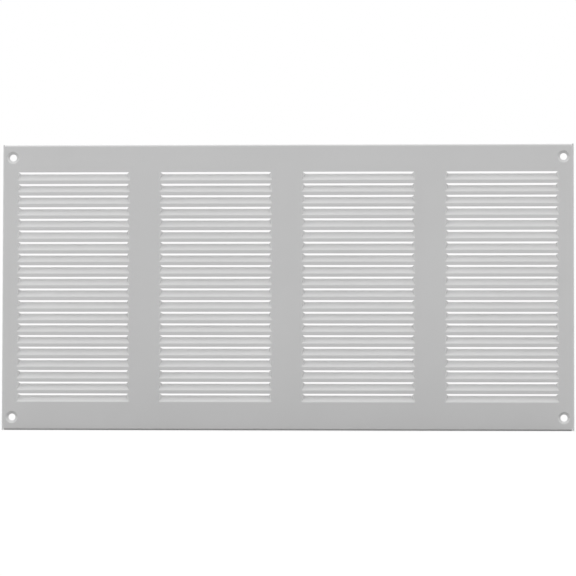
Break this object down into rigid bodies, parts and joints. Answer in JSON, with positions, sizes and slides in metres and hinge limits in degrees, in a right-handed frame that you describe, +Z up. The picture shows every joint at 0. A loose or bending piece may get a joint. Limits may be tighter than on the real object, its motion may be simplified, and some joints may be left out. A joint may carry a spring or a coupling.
{
  "type": "wall vent cover",
  "caption": "White wall vent cover pressed from sheet metal, with columns of inward louvres, folded edges and a dished screw hole at each corner.",
  "frame": {"origin": "centre of the screw-hole pattern, halfway through the bores; the wall is 3.25 mm behind it", "axes": "+X to the right along the wall as seen from the room, +Y into the wall, +Z up; the face looks along -Y"},
  "size_m": [0.4, 0.0051, 0.2],
  "materials": {
    "painted_sheet": "satin white powder coat"
  },
  "bodies": {
    "root": {"louvre_panel": "painted_sheet"}
  },
  "joints": []
}
